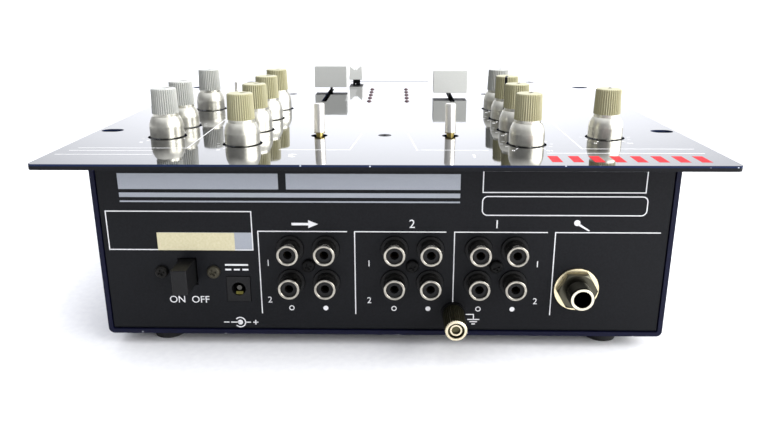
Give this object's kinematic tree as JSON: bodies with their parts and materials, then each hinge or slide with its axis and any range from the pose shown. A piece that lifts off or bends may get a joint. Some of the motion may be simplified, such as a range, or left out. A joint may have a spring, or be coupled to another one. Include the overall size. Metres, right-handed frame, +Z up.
{
  "type": "dj mixer",
  "caption": "Compact DJ mixer: folded steel case under a wide gloss plate with knobs, faders and toggles, and a rear panel of phono, jack and power sockets.",
  "frame": {"origin": "on the floor under the middle of the plate", "axes": "+Z up, +Y towards the rear connector panel, -Y towards the user, +X to the user's right"},
  "size_m": [0.254, 0.2741, 0.1003],
  "materials": {
    "black_painted_steel": "satin black powder coat",
    "gloss_black_face": "high gloss black lacquer with white print",
    "black_rubber": "matt",
    "black_zinc_screws": "black zinc",
    "circuit_board": "solder mask",
    "steel_standoffs": "turned",
    "zinc_plated_steel": "zinc plated",
    "polished_rails": "ground and polished",
    "silver_skirt": "vacuum metallised",
    "black_plastic": "fine spark texture",
    "fader_cap_grey": "satin silver grey",
    "chrome_lever": "polished",
    "red_light": "tinted lens",
    "nickel_plated": "nickel plated",
    "brass_contact": "turned brass",
    "grey_cap": "moulded, fluted",
    "cream_cap": "moulded, fluted"
  },
  "bodies": {
    "chassis": {"base_shell": "black_painted_steel", "rear_panel": "black_painted_steel", "front_panel": "black_painted_steel", "top_deck": "black_painted_steel", "face_panel": "gloss_black_face", "rubber_feet": "black_rubber", "case_screws": "black_zinc_screws", "main_board": "circuit_board", "board_standoffs": "steel_standoffs", "pot_bodies": "zinc_plated_steel", "fader_frames": "zinc_plated_steel", "fader_rails": "polished_rails", "toggle_bodies": "black_plastic", "level_leds": "red_light", "rca_housings": "black_plastic", "rca_shells": "nickel_plated", "socket_contacts": "brass_contact", "jack_board": "circuit_board", "jack_bodies": "black_plastic", "jack_sleeves": "nickel_plated", "jack_nuts": "nickel_plated", "dc_jack": "black_plastic", "power_switch": "black_plastic", "ground_stud": "brass_contact"},
    "knob_ch1_gain": {"knob_skirt_ch1_gain": "silver_skirt", "knob_cap_ch1_gain": "cream_cap"},
    "knob_ch1_high": {"knob_skirt_ch1_high": "silver_skirt", "knob_cap_ch1_high": "cream_cap"},
    "knob_ch1_mid": {"knob_skirt_ch1_mid": "silver_skirt", "knob_cap_ch1_mid": "cream_cap"},
    "knob_ch1_low": {"knob_skirt_ch1_low": "silver_skirt", "knob_cap_ch1_low": "grey_cap"},
    "knob_ch2_gain": {"knob_skirt_ch2_gain": "silver_skirt", "knob_cap_ch2_gain": "cream_cap"},
    "knob_ch2_high": {"knob_skirt_ch2_high": "silver_skirt", "knob_cap_ch2_high": "cream_cap"},
    "knob_ch2_mid": {"knob_skirt_ch2_mid": "silver_skirt", "knob_cap_ch2_mid": "cream_cap"},
    "knob_ch2_low": {"knob_skirt_ch2_low": "silver_skirt", "knob_cap_ch2_low": "cream_cap"},
    "knob_master": {"knob_skirt_master": "silver_skirt", "knob_cap_master": "grey_cap"},
    "knob_cue_mix": {"knob_skirt_cue_mix": "silver_skirt", "knob_cap_cue_mix": "grey_cap"},
    "knob_cue_level": {"knob_skirt_cue_level": "silver_skirt", "knob_cap_cue_level": "grey_cap"},
    "knob_mic_level": {"knob_skirt_mic_level": "silver_skirt", "knob_cap_mic_level": "cream_cap"},
    "ch1_fader": {"ch1_fader_carriage": "black_plastic", "ch1_fader_cap": "fader_cap_grey"},
    "ch2_fader": {"ch2_fader_carriage": "black_plastic", "ch2_fader_cap": "fader_cap_grey"},
    "crossfader": {"crossfader_carriage": "black_plastic", "crossfader_cap": "fader_cap_grey"},
    "input_toggle_ch1": {"input_toggle_ch1_lever": "chrome_lever"},
    "input_toggle_ch2": {"input_toggle_ch2_lever": "chrome_lever"},
    "cue_toggle": {"cue_toggle_lever": "chrome_lever"},
    "power_button": {"power_button": "black_plastic"},
    "ground_washer": {"ground_washer": "nickel_plated"},
    "ground_nut": {"ground_thumb_nut": "nickel_plated"}
  },
  "joints": [
    {"name": "ch1_gain_turn", "type": "hinge", "parent": "chassis", "child": "knob_ch1_gain", "pos_m": [-0.057, 0.1005, 0.08], "axis": [0, 0, -1], "range_deg": [0, 300]},
    {"name": "ch1_high_turn", "type": "hinge", "parent": "chassis", "child": "knob_ch1_high", "pos_m": [-0.057, 0.071, 0.08], "axis": [0, 0, -1], "range_deg": [0, 300]},
    {"name": "ch1_mid_turn", "type": "hinge", "parent": "chassis", "child": "knob_ch1_mid", "pos_m": [-0.057, 0.0415, 0.08], "axis": [0, 0, -1], "range_deg": [-164, 136]},
    {"name": "ch1_low_turn", "type": "hinge", "parent": "chassis", "child": "knob_ch1_low", "pos_m": [-0.057, 0.012, 0.08], "axis": [0, 0, -1], "range_deg": [0, 300]},
    {"name": "ch2_gain_turn", "type": "hinge", "parent": "chassis", "child": "knob_ch2_gain", "pos_m": [0.057, 0.1005, 0.08], "axis": [0, 0, -1], "range_deg": [0, 300]},
    {"name": "ch2_high_turn", "type": "hinge", "parent": "chassis", "child": "knob_ch2_high", "pos_m": [0.057, 0.071, 0.08], "axis": [0, 0, -1], "range_deg": [0, 300]},
    {"name": "ch2_mid_turn", "type": "hinge", "parent": "chassis", "child": "knob_ch2_mid", "pos_m": [0.057, 0.0415, 0.08], "axis": [0, 0, -1], "range_deg": [0, 300]},
    {"name": "ch2_low_turn", "type": "hinge", "parent": "chassis", "child": "knob_ch2_low", "pos_m": [0.057, 0.012, 0.08], "axis": [0, 0, -1], "range_deg": [0, 300]},
    {"name": "master_turn", "type": "hinge", "parent": "chassis", "child": "knob_master", "pos_m": [0.092, 0.086, 0.08], "axis": [0, 0, -1], "range_deg": [0, 300]},
    {"name": "cue_mix_turn", "type": "hinge", "parent": "chassis", "child": "knob_cue_mix", "pos_m": [0.092, 0.062, 0.08], "axis": [0, 0, -1], "range_deg": [0, 300]},
    {"name": "cue_level_turn", "type": "hinge", "parent": "chassis", "child": "knob_cue_level", "pos_m": [0.092, 0.0125, 0.08], "axis": [0, 0, -1], "range_deg": [0, 300]},
    {"name": "mic_level_turn", "type": "hinge", "parent": "chassis", "child": "knob_mic_level", "pos_m": [-0.092, 0.0864, 0.08], "axis": [0, 0, -1], "range_deg": [0, 300]},
    {"name": "ch1_fader_slide", "type": "slide", "parent": "chassis", "child": "ch1_fader", "axis": [0, 1, 0], "range_m": [-0.0245, 0.0205]},
    {"name": "ch2_fader_slide", "type": "slide", "parent": "chassis", "child": "ch2_fader", "axis": [0, 1, 0], "range_m": [0, 0.045]},
    {"name": "crossfader_slide", "type": "slide", "parent": "chassis", "child": "crossfader", "axis": [1, 0, 0], "range_m": [-0.045, 0]},
    {"name": "input_toggle_ch1_flip", "type": "hinge", "parent": "chassis", "child": "input_toggle_ch1", "pos_m": [-0.0278, 0.084, 0.0733], "axis": [1, 0, 0], "range_deg": [-20, 0]},
    {"name": "input_toggle_ch2_flip", "type": "hinge", "parent": "chassis", "child": "input_toggle_ch2", "pos_m": [0.0278, 0.084, 0.0733], "axis": [1, 0, 0], "range_deg": [-20, 0]},
    {"name": "cue_toggle_flip", "type": "hinge", "parent": "chassis", "child": "cue_toggle", "pos_m": [0.08, 0.005, 0.0733], "axis": [1, 0, 0], "range_deg": [-20, 0]},
    {"name": "power_button_push", "type": "slide", "parent": "chassis", "child": "power_button", "axis": [0, -1, 0], "range_m": [0, 0.0035], "stiffness_N_per_m": 400},
    {"name": "ground_washer_slide", "type": "slide", "parent": "chassis", "child": "ground_washer", "axis": [0, 1, 0], "range_m": [0, 0.00279]},
    {"name": "ground_nut_turn", "type": "hinge", "parent": "ground_washer", "child": "ground_nut", "pos_m": [-0.028, 0.1219, 0.0154], "axis": [0, 1, 0], "range_deg": [0, 1440]}
  ],
  "couplings": [
    {"joint": "ground_nut_turn", "follows": "ground_washer_slide", "rad_per_m": 8976}
  ]
}
